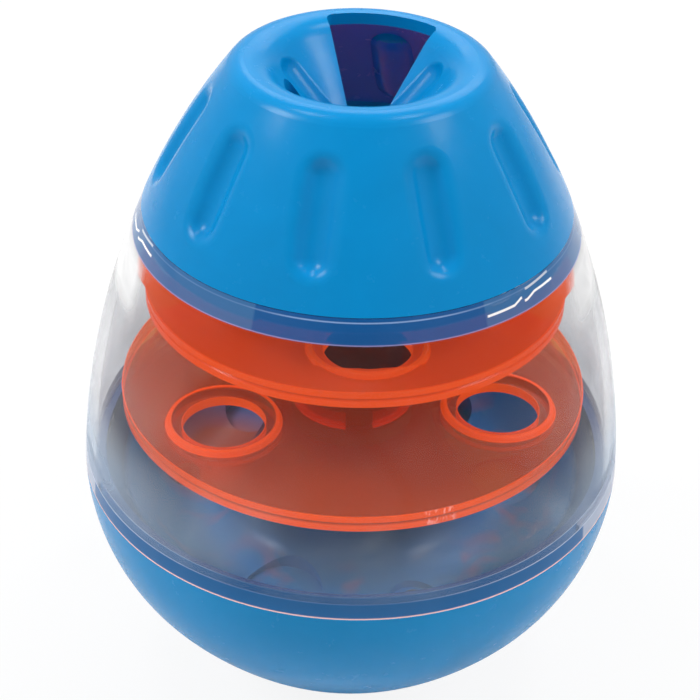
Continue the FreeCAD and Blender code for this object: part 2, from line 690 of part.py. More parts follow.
def base_floor():
    """The inner floor: a dished ring with a trough, a central hill and the twist-lock spigot."""
    wall, zero = size("floor_wall"), as_dim(0)
    low = well_bottom - wall
    form = new_body("floor_form")
    outline = upright(form, "floor_outline", 0, low)
    outline.line(ring_radius, low).line(ring_radius, seam + size("spigot_rise"))
    outline.line(ring_bore, seam + size("spigot_rise")).line(ring_bore, seam + size("dish_rise"))
    floor_section(outline, zero)
    outline.line(0, hill_top)
    turned(form, outline.close(), "floor_solid")
    sites = []
    for kind, reach in (("pocket", pocket_reach), ("well", well_reach)):
        turn, bottom = at_bearing(size(f"{kind}_bearing")), trough - size(f"{kind}_sink")
        sites.append((kind, turn, reach, size(f"{kind}_radius"), bottom))
    for kind, turn, reach, radius, bottom in sites:
        sketch = disc_sketch(form, f"{kind}_circle", radius, seam, reach, turn)
        ring_of(form, [sunk(form, sketch, kind, seam - bottom)], f"{kind}_ring", size("well_count"))
    sketch = disc_sketch(form, "screw_circle", size("screw_hole"), seam, well_reach,
                         at_bearing(size("well_bearing")))
    ring_of(form, [sunk(form, sketch, "screw_way", seam)], "screw_ways", size("well_count"))
    pilot = size("centre_screw_radius") + size("thread_fit")
    sketch = disc_sketch(form, "post_pilot", pilot, hill_top + OVERCUT)
    sunk(form, sketch, "post_hole", size("centre_screw_length") + OVERCUT)
    lugs(form, "base_lug", ring_radius, seam + size("spigot_rise") - size("lug_height"),
         at_bearing(size("base_lug_bearing")), size("base_lug_count"))

    hollow = new_body("floor_hollow")
    outer = floor_points(wall)[0]
    ring_foot = seam - size("rim_depth")
    dish = size("dish_slope")
    ring_inside = outer[0] + (ring_foot - outer[1]) * cosine(dish) / sine(dish)
    under = low - OVERCUT
    boss, boss_foot = size("floor_boss_radius"), hill_top - wall - size("floor_boss_drop")
    outline = upright(hollow, "under_outline", 0, under)
    outline.line(size("body_radius"), under).line(size("body_radius"), ring_foot)
    outline.line(ring_inside, ring_foot)
    floor_section(outline, wall)
    outline.line(boss, hill_top - wall).line(boss, boss_foot).line(0, boss_foot)
    turned(hollow, outline.close(), "under_solid")
    for kind, turn, reach, radius, bottom in sites:
        sketch = disc_sketch(hollow, f"{kind}_wall_circle", radius + wall, bottom - wall, reach, turn)
        cut = sunk(hollow, sketch, f"{kind}_wall", seam - bottom, upward=True)
        ring_of(hollow, [cut], f"{kind}_wall_ring", size("well_count"))
    return hollowed("base_floor", form, hollow)


def floor_screws():
    """Three screws from the wells into the bowl's towers."""
    body = new_body("floor_screws", well_bottom)
    body.AllowCompound = True
    features = screw(body, size("screw_radius"), size("screw_length"), size("head_radius"),
                     size("head_height"), size("socket_radius"), well_reach,
                     at_bearing(size("well_bearing")))
    ring_of(body, features, "screw_ring", size("well_count"))
    return body


def centre_post():
    """The hollow post, with a foot that the lower disc's hub turns on and a web for its screw."""
    body = new_body("centre_post", hill_top)
    top = upper_top + size("post_rise") - hill_top
    foot = lower_top - hub_hang - size("turn_gap") - hill_top
    outline = upright(body, "post_outline", size("centre_screw_hole"), 0)
    outline.line(size("hub_radius"), 0).line(size("hub_radius"), foot)
    outline.line(size("post_radius"), foot).line(size("post_radius"), top)
    outline.line(size("post_bore"), top).line(size("post_bore"), size("post_web"))
    outline.line(size("centre_screw_hole"), size("post_web"))
    turned(body, outline.close(), "post")
    return body


def post_screw():
    """The screw that holds the post down to the floor's boss."""
    body = new_body("post_screw", hill_top + size("post_web"))
    screw(body, size("centre_screw_radius"), size("centre_screw_length"),
          size("centre_head_radius"), size("centre_head_height"), size("centre_socket_radius"))
    return body


def spacer_sleeve():
    """The sleeve that keeps the two discs apart."""
    low = lower_top + size("turn_gap")
    body = new_body("spacer_sleeve", low)
    length = upper_top - hub_hang - size("turn_gap") - low
    sketch = disc_sketch(body, "sleeve_circle", size("hub_radius"), 0)
    raised(body, sketch, "sleeve", length)
    bore = size("post_radius") + size("loose_fit")
    sketch = disc_sketch(body, "sleeve_bore_circle", bore, length)
    sunk(body, sketch, "sleeve_bore", length)
    return body


def disc(name, top):
    """A treat disc: plate, rim, ribbed holes, and a hub split into fingers that clip the post."""
    turn = at_bearing(size(f"{name}_hole_bearing"))
    body = new_body(f"{name}_disc", top, turn)
    radius = kept(f"{name}_disc_radius", shell_bore(top - seam) - size(f"{name}_disc_gap"))
    plate = 0 - size("plate")
    bore = size("post_radius") + size("running_fit")
    rim_foot, middle = 0 - size("rim_height"), 0 - size("rim_height") / 2
    groove = size("rim_line")
    outline = upright(body, "disc_outline", bore, 0 - hub_hang)
    outline.line(size("hub_radius"), 0 - hub_hang).line(size("hub_radius"), plate)
    outline.line(radius - size("rim_width"), plate).line(radius - size("rim_width"), rim_foot)
    outline.line(radius, rim_foot).line(radius, middle - groove)
    outline.line(radius - groove, middle).line(radius, middle + groove)
    outline.line(radius, 0).line(bore, 0)
    turned(body, outline.close(), "plate")
    reach, hole = size(f"{name}_hole_reach"), size(f"{name}_hole_radius")
    rib, rise = size(f"{name}_ring_radius"), size("ring_rise")
    sketch = disc_sketch(body, "ring_circle", rib, 0, reach)
    ring = raised(body, sketch, "ring", rise, 0 - size("ring_draft"))
    sketch = disc_sketch(body, "ring_inside_circle", rib - size("ring_wall"), rise, reach)
    inside = sunk(body, sketch, "ring_inside", rise)
    sketch = disc_sketch(body, "hole_circle", hole, 0, reach)
    way = sunk(body, sketch, "hole", size("plate"))
    ring_of(body, [ring, inside, way], "holes", size("hole_count"))
    half = size("hub_slot") / 2
    sketch = new_sketch(body, "slot_outline", "XY_Plane", lift=0 - hub_hang)
    slot = Outline(sketch, 0 - size("hub_radius") - OVERCUT, 0 - half)
    slot.line(0 - size("post_radius") + OVERCUT, 0 - half)
    slot.line(0 - size("post_radius") + OVERCUT, half)
    slot.line(0 - size("hub_radius") - OVERCUT, half)
    cut = sunk(body, slot.close(), "slot", size("hub_drop"), upward=True)
    ring_of(body, [cut], "slots", size("hole_count"))
    crest = rise.value
    edge_test = lambda edge: edge.BoundBox.ZMin > crest - TINY and edge.BoundBox.ZMax < crest + TINY
    rounded(body, "ring_edges", size("ring_edge"), edge_test)
    return body


def post_nut():
    """The domed nut on top of the post, with finger grips."""
    body = new_body("post_nut", upper_top + size("turn_gap"))
    bore = size("post_radius") + size("loose_fit")
    roof = size("post_rise") - size("turn_gap") + size("loose_fit")
    radius, top, dome = size("nut_radius"), size("nut_height"), size("nut_dome")
    outline = upright(body, "nut_outline", bore, 0)
    outline.line(radius, 0).line(radius, top - dome).arc(radius - dome, top, dome)
    outline.line(0, top).line(0, roof).line(bore, roof)
    turned(body, outline.close(), "nut")
    sketch = disc_sketch(body, "grip_circle", size("grip_radius"), top, size("grip_reach"))
    ring_of(body, [sunk(body, sketch, "grip", top)], "grips", size("grip_count"))
    return body


def clear_shell():
    """The clear middle shell, with twist-lock tracks at both ends."""
    body = new_body("clear_shell", seam)
    top, curve = size("shell_height"), size("shell_curve")
    inside = curve - size("shell_wall")
    collar_foot = top - size("collar_depth")
    flare_foot = collar_foot - size("collar_flare")
    foot_top = size("foot_depth")
    outline = upright(body, "shell_outline", foot_bore, 0)
    outline.line(size("body_radius"), 0).arc(size("collar_radius"), top, curve)
    outline.line(collar_bore, top).line(collar_bore, collar_foot)
    outline.line(shell_bore(flare_foot), flare_foot)
    outline.arc(shell_bore(foot_top), foot_top, inside, left=False).line(foot_bore, foot_top)
    turned(body, outline.close(), "shell")
    twist = size("twist_angle")
    tracks(body, "collar_track", collar_bore, cap_low, top + OVERCUT,
           twist, at_bearing(size("cap_lug_bearing")), size("cap_lug_count"))
    tracks(body, "foot_track", foot_bore, size("spigot_rise") - size("lug_height"),
           as_dim(-OVERCUT), 0 - twist, at_bearing(size("base_lug_bearing")), size("base_lug_count"))
    return body


def cap_centres():
    """Centres of the cap's wall and of both roundings of its lip, and the crater tip's centre."""
    curve, lip, slope = size("cap_curve"), size("lip_radius"), size("crater_slope")
    lean, inside, tip = size("cap_lean"), size("lip_inside"), size("crater_tip")
    wall_out = kept("cap_centre_out", size("collar_radius") - curve * cosine(lean))
    wall_up = kept("cap_centre_up", cap_shoulder - curve * sine(lean))
    lip_up = cap_top - lip
    crest = kept("crest_radius", wall_out + side_of(curve - lip, lip_up - wall_up))
    edge = (crest - inside * sine(slope), cap_top - inside + inside * cosine(slope))
    fall = (edge[0] - tip * sine(slope)) * sine(slope) / cosine(slope)
    tip_up = kept("crater_tip_up", edge[1] - fall + tip * cosine(slope))
    return (wall_out, wall_up), (crest, lip_up), (crest, cap_top - inside), (as_dim(0), tip_up)


cap_top = size("shell_height") + size("cap_rise")
cap_centre, lip_centre, lip_inside_centre, tip_centre = cap_centres()


def crater_start(offset):
    """Upper end of the crater's straight wall."""
    slope = size("crater_slope")
    return moved(lip_inside_centre, size("lip_inside") - offset, 0 - sine(slope), cosine(slope))


def cap_section(outline, offset):
    """Run an outline from the cap's wall over the lip and down the crater to the axis."""
    curve, lip, slope = size("cap_curve"), size("lip_radius"), size("crater_slope")
    tip = size("crater_tip") + offset
    outline.arc(*joint_of(lip_centre, lip, cap_centre, curve, offset), curve - offset)
    outline.arc(lip_centre[0], cap_top - offset, lip - offset)
    outline.arc(*crater_start(offset), size("lip_inside") - offset)
    outline.line(*moved(tip_centre, tip, sine(slope), 0 - cosine(slope)))
    outline.arc(0, tip_centre[1] - tip, tip, left=False)


def capsule(body, name, middle, along, length, radius, turn):
    """Cut a rod with ball ends, given its middle and direction in the upright plane."""
    half = length / 2
    across = (along[1], 0 - along[0])
    low, high = moved(middle, 0 - half, *along), moved(middle, half, *along)
    outline = upright(body, f"{name}_outline", *moved(low, 0 - radius, *along), turn)
    outline.arc(*moved(low, radius, *across), radius).line(*moved(high, radius, *across))
    outline.arc(*moved(high, radius, *along), radius)
    outline.axis(low, high)
    return turned(body, outline.close(), name, cut=True, axis="Axis0")


def flutes(body, name, radius):
    """Finger flutes round the cap's wall, or the fatter rods that leave their wall inside."""
    place = size("flute_angle")
    stand = size("cap_curve") + size("flute_radius") - size("flute_depth")
    middle = moved(cap_centre, stand, cosine(place), sine(place))
    along = (0 - sine(place), cosine(place))
    turn = at_bearing(size("flute_bearing"))
    flute = capsule(body, name, middle, along, size("flute_length"), radius, turn)
    ring_of(body, [flute], f"{name}_ring", size("flute_count"))


def scoops(body):
    """A shallow scoop along each petal of the crater."""
    slope = size("crater_slope")
    down = (0 - cosine(slope), 0 - sine(slope))
    upward = (0 - sine(slope), cosine(slope))
    middle = moved(crater_start(0), size("scoop_start") + size("scoop_length") / 2, *down)
    middle = moved(middle, size("scoop_radius") - size("scoop_depth"), *upward)
    for side in SCOOPS:
        turn = at_bearing(size(f"{side}_scoop_bearing"))
        capsule(body, f"{side}_scoop", middle, down, size("scoop_length"), size("scoop_radius"), turn)


def window_reach(side):
    """Outer edge of a treat window from the axis."""
    return lip_centre[0] - size(f"{side}_window_margin")


def windows(body):
    """Treat windows: sectors cut straight down through the crater's wall."""
    root_reach, lift = size("window_root"), cap_top + OVERCUT
    for side in WINDOWS:
        half, reach = size(f"{side}_window_angle") / 2, window_reach(side)
        turn = at_bearing(size(f"{side}_window_bearing"))
        sketch = new_sketch(body, f"{side}_window_outline", "XY_Plane", turn, lift)
        out, aside = cosine(half), sine(half)
        outline = Outline(sketch, root_reach * out, 0 - root_reach * aside)
        outline.line(reach * out, 0 - reach * aside).arc(reach * out, reach * aside, reach)
        outline.line(root_reach * out, root_reach * aside)
        sunk(body, outline.close(), f"{side}_window", lift - size("shell_height"))


def points_on(edge):
    """Points along an edge as distance from the axis, turn about it and height."""
    first, last = edge.FirstParameter, edge.LastParameter
    points = [edge.valueAt(first + share * (last - first)) for share in PROBES]
    return [(math.hypot(p.x, p.y), math.atan2(p.y, p.x), p.z) for p in points]


def ranges_of(edge):
    """How far an edge runs outwards, round the axis and upwards."""
    return [max(values) - min(values) for values in zip(*points_on(edge))]


def window_corner_edge(edge):
    """An upright edge at a window's outer corner."""
    out_range, turn_range, _ = ranges_of(edge)
    reaches = [window_reach(side).value for side in WINDOWS]
    out = points_on(edge)[0][0]
    at_reach = any(abs(out - reach) < NEAR for reach in reaches)
    return at_reach and out_range < TINY and turn_range < TINY


def scoop_rim_edge(edge):
    """An edge where a scoop meets the crater's wall."""
    slope = math.radians(size("crater_slope").value)
    start = crater_start(0)
    off_wall = max(abs((out - start[0].value) * math.sin(slope) - (up - start[1].value) * math.cos(slope))
                   for out, _, up in points_on(edge))
    _, turn_range, climb = ranges_of(edge)
    return off_wall < NEAR and turn_range > TINY and climb > TINY


def flute_rim_edge(edge):
    """An edge where a flute meets the cap's outer wall."""
    centre, curve = cap_centre, size("cap_curve").value
    off_wall = max(abs(math.hypot(out - centre[0].value, up - centre[1].value) - curve)
                   for out, _, up in points_on(edge))
    _, turn_range, climb = ranges_of(edge)
    return off_wall < NEAR and turn_range > TINY and climb > TINY


def top_cap():
    """The cap: a fluted dome with a crater, whose petals leave three windows for treats."""
    form = new_body("cap_form")
    outline = upright(form, "cap_outline", 0, cap_low)
    outline.line(cap_ring_radius, cap_low).line(cap_ring_radius, cap_shoulder)
    outline.line(size("collar_radius"), cap_shoulder)
    cap_section(outline, as_dim(0))
    turned(form, outline.close(), "cap_solid")
    lugs(form, "cap_lug", cap_ring_radius, cap_low, at_bearing(size("cap_lug_bearing")),
         size("cap_lug_count"))
    scoops(form)
    rounded(form, "scoop_edges", size("scoop_edge"), scoop_rim_edge)
    windows(form)
    rounded(form, "window_corners", size("window_corner"), window_corner_edge)
    flutes(form, "flute", size("flute_radius"))
    rounded(form, "flute_edges", size("flute_edge"), flute_rim_edge)

    hollow = new_body("cap_hollow")
    wall = size("cap_wall")
    bore = cap_ring_radius - size("cap_spigot_wall")
    wall_foot_up = cap_shoulder + size("cap_spigot_wall")
    wall_foot = cap_centre[0] + side_of(size("cap_curve") - wall, wall_foot_up - cap_centre[1])
    outline = upright(hollow, "cap_hollow_outline", 0, cap_low - OVERCUT)
    outline.line(bore, cap_low - OVERCUT).line(bore, size("shell_height"))
    outline.line(wall_foot, wall_foot_up)
    cap_section(outline, wall)
    turned(hollow, outline.close(), "cap_hollow_solid")
    flutes(hollow, "flute_wall", size("flute_radius") + wall)
    return hollowed("top_cap", form, hollow, seam)


pieces = [
    base_shell(),
    base_weight(),
    weight_washer(),
    weight_screw(),
    base_floor(),
    floor_screws(),
    centre_post(),
    post_screw(),
    disc("lower", lower_top),
    spacer_sleeve(),
    disc("upper", upper_top),
    post_nut(),
    clear_shell(),
    top_cap(),
]
doc.recompute()

for made in doc.Objects:
    if "Invalid" in made.State or "Error" in made.State:
        raise RuntimeError(f"{made.Label} failed: {made.State}")
for piece in pieces:
    if piece.Shape.isNull() or not piece.Shape.isValid():
        raise RuntimeError(f"{piece.Label} has no valid shape")

os.makedirs("parts", exist_ok=True)
for piece in pieces:
    piece.Shape.exportStep(f"parts/{piece.Label}.step")
    solids = len(piece.Shape.Solids)
    print(f"{piece.Label}: {solids} solids, {piece.Shape.Volume / 1000:.2f} cm3")
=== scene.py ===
import math

import bpy
from mathutils import Matrix, Vector

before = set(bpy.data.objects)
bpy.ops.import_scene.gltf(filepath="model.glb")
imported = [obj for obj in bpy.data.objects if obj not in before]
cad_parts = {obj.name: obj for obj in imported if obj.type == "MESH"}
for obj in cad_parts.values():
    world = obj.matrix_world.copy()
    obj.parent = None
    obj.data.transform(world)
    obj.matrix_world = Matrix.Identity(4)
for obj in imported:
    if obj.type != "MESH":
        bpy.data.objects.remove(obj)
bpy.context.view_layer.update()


def srgb(red, green, blue):
    """A colour read as 0 to 255 on a screen, as linear light with alpha 1."""
    def linear(value):
        share = value / 255
        return share / 12.92 if share <= 0.04045 else ((share + 0.055) / 1.055) ** 2.4
    return (linear(red), linear(green), linear(blue), 1.0)


# Height of the seam between the base and the clear shell
SEAM = 0.0588

# The camera that the photograph was taken with, found from the seam, the discs and the outline
IMAGE_WIDTH = 700
FOCAL_PIXELS = 1700.0
SENSOR = 36.0
CAMERA_PLACE = Vector((0.0, -0.3080, 0.2373 + SEAM))
CAMERA_PITCH = 0.605766
CAMERA_YAW = -0.002516
CAMERA_ROLL = 0.026407
CLIP_NEAR = 0.01
CLIP_FAR = 50.0

# The treat discs, as the CAD has them: height of the plate's top, distance of its holes from the axis,
# radius of a hole and of the rib round it, and bearing of one hole. Bearings count in degrees from the
# front (-Y) towards +X. Then the looks: share of the dyed body against the clear one, the painted glow
# (emission) of the plate and of its edges, the two colours, strength of the ejector marks, and bearings
# that the scuff runs between.
DISCS = {
    "lower_disc": {
        "top": SEAM + 0.0190, "reach": 0.0340, "hole": 0.0088, "ring": 0.0122, "bearing": 67.5,
        "dye": 0.32, "light": 0.22, "painted_rim_glow": 0.62, "clear": (0.97, 0.60, 0.23, 1.0),
        "body": (0.74, 0.14, 0.045, 1.0), "marks": 0.50, "scuff": (17.5, 24.5),
    },
    "upper_disc": {
        "top": SEAM + 0.0449, "reach": 0.0279, "hole": 0.0088, "ring": 0.0122, "bearing": 5.8,
        "dye": 0.56, "light": 0.50, "painted_rim_glow": 0.58, "clear": (0.97, 0.44, 0.08, 1.0),
        "body": (0.68, 0.076, 0.012, 1.0), "marks": None, "scuff": None,
    },
}
HOLES = 3
RIB_WIDTH = 0.0015
HUB_RADIUS = 0.0135
HUB_HANG = 0.0067
MARKS = 2 * HOLES
MARK_RADIUS = 0.0033
MARK_HALF_WIDTH = 0.0002

# How the discs' edges glow: a painted glow (emission), where more of the dyed body shows too. SKIN is how
# far past a CAD face its glow is laid, so that the face gets it all. The painted rim glow is full where
# the rim is seen square on, and none at its turning edge.
SKIN = 0.0002
EDGE_SOFT = 0.0001
EDGE_DYE = 0.88
RIM_FACING = (0.95, 0.35)
RIM_LINE_DROP = 0.00175
RIM_LINE_WIDTHS = (0.0001, 0.0004)
RIM_LINE_SHARE = 0.35
RIB_INSET = 0.0003
RIB_DROPS = (0.0006, 0.0003)
RIB_FOOT_SHARE = 0.25
FINGER_LIFTS = (0.0008, 0.0003)
MARK_GLOW = 0.45
SPILL = 0.2
DISC_GLOSS = 0.5
SCUFF_SHARE = 0.55
SCUFF_CUT = (0.52, 0.60)
SCUFF_SOFT = 0.01
# Colours of the dyed body where the painted glow lies, and of the painted glow itself
PAINTED_GLOW_EDGE_ORANGE = (0.68, 0.076, 0.012, 1.0)
PAINTED_GLOW_ORANGE = (1.0, 0.09, 0.006, 1.0)
MARK_COLOUR = (0.22, 0.03, 0.01, 1.0)
SCUFF_COLOUR = (0.95, 0.75, 0.70, 1.0)
# The sleeve: a darker copy of the discs' orange, painted shade
SLEEVE_CLEAR = (0.60, 0.20, 0.12, 1.0)
SLEEVE_SHADED_DYE = srgb(120, 30, 14)
SLEEVE_DYE_SHARE = 0.45

# The clear wall: its tint, and how cloudy it is low down and high up.
# Pairs of heights or facings are where a change begins and where it is complete.
GLASS_IOR = 1.09
GLASS_LOW = (0.92, 0.925, 0.935, 1.0)
GLASS_HIGH = (0.87, 0.875, 0.88, 1.0)
GLASS_HEIGHTS = (SEAM + 0.030, SEAM + 0.048)
HAZE_LOW = 0.13
HAZE_HIGH = 0.028
HAZE_HEIGHTS = (SEAM + 0.012, SEAM + 0.024)
HAZE_LOW_COLOUR = srgb(186, 204, 222)
HAZE_HIGH_COLOUR = srgb(232, 232, 232)
SHADOW_TINT = (0.88, 0.88, 0.90, 1.0)

# What the haze is multiplied by where the wall is seen aslant, near its top, and aslant under the collar
HAZE_ASLANT = 2.4
HAZE_FACING = (0.3, 0.9)
HAZE_TOP = 0.35
HAZE_TOP_HEIGHTS = (SEAM + 0.034, SEAM + 0.044)
HAZE_FLARE = 40.0
FLARE_FOOT = SEAM + 0.047
FLARE_SOFT = 0.002
FLARE_FACING = (0.54, 0.62)

# The clear shell's locking rims: a collar under the cap, and a foot at the seam. Each is painted with
# the blue of the ring inside it, as seen through and mirrored in the wall, and has a painted highlight
# line that changes with the degrees from the middle of the nearest slot.
BAND_SOFT = 0.0001
COLLAR_TOP = SEAM + 0.0620
COLLAR_FOOT = SEAM + 0.0571
COLLAR_SHARE = 0.92
COLLAR_LINE = (COLLAR_TOP - 0.0009, COLLAR_TOP - 0.0007)
COLLAR_LINE_TURNS = (28.0, 42.0)
COLLAR_LINE_FAINT = 0.25
COLLAR_EDGE = (COLLAR_FOOT, COLLAR_FOOT + 0.0002)
FOOT_TOP = SEAM + 0.0040
FOOT_END = SEAM - 0.001
FOOT_SHARE = 0.86
FOOT_LINE = (FOOT_TOP - 0.0003, FOOT_TOP)
FOOT_LINE_TURNS = (40.0, 75.0)
FOOT_LINE_FAINT = 0.15
FOOT_EDGE = (FOOT_END, SEAM + 0.0003)
FOOT_EDGE_RADII = (0.0592, 0.0596)

# Lock slots seen in the rims: bearing of one slot, how many there are, and half the width of each in degrees
COLLAR_SLOTS = {"bearing": 64.2, "count": 3, "half": 31.2}
FOOT_SLOTS = {"bearing": 84.5, "count": 2, "half": 28.5}
SLOT_SOFT = 0.3

# Painted highlights in a collar slot: from and to (degrees), bend from and to, height before and after it,
# strength
SLOT_PAINTED_HIGHLIGHTS = (
    (-30.7, -19.4, -22.2, -19.7, SEAM + 0.0591, SEAM + 0.0598, 1.0),
    (-18.6, -7.0, -17.7, -14.7, SEAM + 0.0590, SEAM + 0.0597, 1.0),
    (-17.7, -8.0, -17.0, -9.0, SEAM + 0.0610, SEAM + 0.0614, 0.55),
)
SLOT_HIGHLIGHT_SOFT = 0.2
SLOT_HIGHLIGHT_HALF_WIDTHS = (0.00028, 0.00016)

# Painted colours of the locking rims: the rings inside as seen through and mirrored, and painted highlights
COLLAR_PAINTED_RING_BLUE = srgb(16, 84, 146)
COLLAR_PAINTED_SLOT_BLUE = srgb(56, 106, 156)
COLLAR_PAINTED_HIGHLIGHT = srgb(150, 178, 222)
COLLAR_EDGE_PAINTED_HIGHLIGHT = srgb(160, 150, 196)
FOOT_PAINTED_RING_BLUE = srgb(8, 92, 150)
FOOT_PAINTED_SLOT_GREY = srgb(160, 170, 192)
FOOT_PAINTED_HIGHLIGHT = srgb(190, 200, 222)
FOOT_EDGE_PAINTED_HIGHLIGHT_PINK = srgb(250, 204, 196)
WHITE = (1.0, 1.0, 1.0, 1.0)

# Blue pieces, and the places on them that are dimmed or lit.
# Pairs of radii or heights are where a change begins and where it is complete.
CAP_BLUE = srgb(2, 132, 194)
BASE_BLUE = srgb(4, 130, 188)
FLOOR_BLUE = srgb(24, 128, 206)
# A bluer tone painted inside the cap, for light that bounces round in its blue hollow
INNER_CAP_PAINTED_BOUNCE_BLUE = srgb(34, 112, 210)
INNER_CAP_SLOPE = -0.1
DIM_HILL_BLUE = srgb(4, 52, 100)
DIM_EDGE_BLUE = srgb(24, 62, 124)
PAINTED_WARM_LIGHT_BROWN = srgb(190, 90, 50)
BOWL_WALL_RADII = (0.0582, 0.0578)
BOWL_WALL_HEIGHTS = (SEAM - 0.007, SEAM - 0.006)
FLOOR_EDGE_RADII = (0.0505, 0.0520)
HILL_RADII = (0.020, 0.034)
HILL_DIMMING = 0.85
PATCH_X = -0.030
PATCH_Y = 0.014
PATCH_RADII = (0.008, 0.021)
PATCH_SHARE = 0.95
CLOUD_SHARE = 0.28
CLOUD_CUT = (0.52, 0.66)
TROUGH_INNER = 0.029
TROUGH_OUTER = 0.047
TROUGH_SOFT = 0.003
MOTTLE = 0.05

IRON_DARK = srgb(58, 60, 64)
IRON_PALE = srgb(82, 84, 88)
ZINC_DARK = srgb(176, 178, 182)
ZINC_PALE = srgb(205, 206, 208)
# A darker copy of the zinc steel: painted shade on the floor screws
SHADED_ZINC_DARK = srgb(44, 48, 58)
SHADED_ZINC_PALE = srgb(62, 66, 76)

# How much a clear plastic mirrors, seen square on and at its turning edge, and how late it rises between them
LEAST_GLOSS = 0.02
MOST_GLOSS = 0.8
GLOSS_POWER = 5.0

# Floor, surroundings and lamps. Each lamp has a name, a place, the width and height of its face, and watts.
FLOOR_SIZE = 6.0
FLOOR_GREY = (0.86, 0.86, 0.86, 1.0)
FLOOR_WHITENESS = 0.88
WORLD_LIGHT = 0.42
WORLD_GLOSS = 0.25
SIDE_GLOSS = 0.78
SIDE_START = 0.1
SIDE_FULL = 0.6
LAMP_TARGET = (0.0, 0.0, 0.09)
LAMPS = (
    ("key", (-0.88, -0.14, 0.98), 0.40, 0.40, 8.5),
    ("fill", (0.85, -0.20, 0.95), 0.40, 0.40, 6.0),
    ("top_left", (-0.36, 0.14, 1.15), 0.20, 0.20, 1.8),
    ("top_right", (0.36, 0.14, 1.15), 0.20, 0.20, 1.8),
    ("back", (0.1, 0.9, 0.9), 0.9, 0.5, 4.0),
)
MAX_LAYERS = 32


class Nodes:
    """A node tree and short ways to build it."""

    def __init__(self, owner, output_kind):
        owner.use_nodes = True
        self.owner = owner
        self.tree = owner.node_tree
        self.tree.nodes.clear()
        self.output = self.add(output_kind)

    def add(self, kind, values=None, **settings):
        """A new node with its settings, and with the values and links of its sockets."""
        node = self.tree.nodes.new(kind)
        for key, value in settings.items():
            setattr(node, key, value)
        for key, value in (values or {}).items():
            self.put(node, key, value)
        return node

    def put(self, node, key, value):
        """Set a socket to a value, or link it to a socket or to the first output of a node."""
        if isinstance(value, bpy.types.NodeSocket):
            self.tree.links.new(value, node.inputs[key])
        elif isinstance(value, bpy.types.Node):
            self.tree.links.new(value.outputs[0], node.inputs[key])
        else:
            node.inputs[key].default_value = value

    def finish(self, surface):
        """Link the last shader, and give back the material or world."""
        self.put(self.output, "Surface", surface)
        return self.owner

    def place(self):
        """The object's own coordinates, which keep still when it moves."""
        return self.add("ShaderNodeTexCoord").outputs["Object"]

    def stretched(self, stretch):
        """The object's own coordinates, stretched along each axis."""
        return self.add("ShaderNodeMapping", {"Vector": self.place(), "Scale": stretch}).outputs["Vector"]

    def parts(self, vector):
        """A vector's x, y and z."""
        return tuple(self.add("ShaderNodeSeparateXYZ", {0: vector}).outputs)

    def axes(self):
        """The object's own x, y and z."""
        return self.parts(self.place())

    def noise(self, scale, detail=3.0, roughness=0.5, distortion=0.0, place=None):
        values = {
            "Vector": place or self.place(), "Scale": scale, "Detail": detail,
            "Roughness": roughness, "Distortion": distortion,
        }
        return self.add("ShaderNodeTexNoise", values).outputs["Fac"]

    def calc(self, operation, first, second=0.0):
        return self.add("ShaderNodeMath", {0: first, 1: second}, operation=operation).outputs[0]

    def times(self, *factors):
        """The product of two values or more."""
        product = factors[0]
        for factor in factors[1:]:
            product = self.calc("MULTIPLY", product, factor)
        return product

    def most(self, *values):
        """The largest of one value or more."""
        largest = values[0]
        for value in values[1:]:
            largest = self.calc("MAXIMUM", largest, value)
        return largest

    def apart(self, first, second):
        """How far two values lie apart."""
        return self.calc("ABSOLUTE", self.calc("SUBTRACT", first, second))

    def length(self, first, second):
        return self.calc("SQRT", self.calc("ADD", self.times(first, first), self.times(second, second)))

    def spread(self, source, low, high, to_low=0.0, to_high=1.0):
        """A value carried from one range over to another, and held at its ends."""
        values = {"Value": source, "From Min": low, "From Max": high, "To Min": to_low, "To Max": to_high}
        return self.add("ShaderNodeMapRange", values).outputs["Result"]

    def between(self, value, low, high, soft):
        """1 between two values, with soft ends."""
        past_low = self.spread(value, low - soft, low + soft)
        return self.times(past_low, self.spread(value, high + soft, high - soft))

    def fold(self, x, y, bearing, count):
        """Radians from the nearest of the directions that repeat round the axis."""
        step = 2 * math.pi / count
        start = math.radians(bearing - 90)
        turn = self.calc("SUBTRACT", self.calc("ARCTAN2", y, x), start - step / 2)
        return self.calc("SUBTRACT", self.calc("FLOORED_MODULO", turn, step), step / 2)

    def blend(self, share, first, second):
        """One colour or the other by a share."""
        node = self.add("ShaderNodeMix", {0: share}, data_type="RGBA")
        ends = [number for number, socket in enumerate(node.inputs) if socket.type == "RGBA"]
        self.put(node, ends[0], first)
        self.put(node, ends[1], second)
        return [socket for socket in node.outputs if socket.type == "RGBA"][0]

    def either(self, share, first, second):
        """One shader or the other by a share."""
        return self.add("ShaderNodeMixShader", {0: share, 1: first, 2: second}).outputs[0]

    def bump(self, height, distance, after=None):
        values = {"Height": height, "Distance": distance}
        if after is not None:
            values["Normal"] = after
        return self.add("ShaderNodeBump", values).outputs["Normal"]

    def facing(self):
        """0 where a face is seen square on, 1 at its turning edge."""
        return self.add("ShaderNodeLayerWeight", {"Blend": 0.5}).outputs["Facing"]

    def gloss_share(self):
        """How much a clear plastic mirrors, the same from both of its sides."""
        edge = self.calc("POWER", self.facing(), GLOSS_POWER)
        return self.spread(edge, 0.0, 1.0, to_low=LEAST_GLOSS, to_high=MOST_GLOSS)

    def rays(self, *kinds):
        """1 for rays of any of these kinds."""
        path = self.add("ShaderNodeLightPath")
        return self.most(*(path.outputs[f"Is {kind} Ray"] for kind in kinds))


def new_shading(name):
    return Nodes(bpy.data.materials.new(name), "ShaderNodeOutputMaterial")


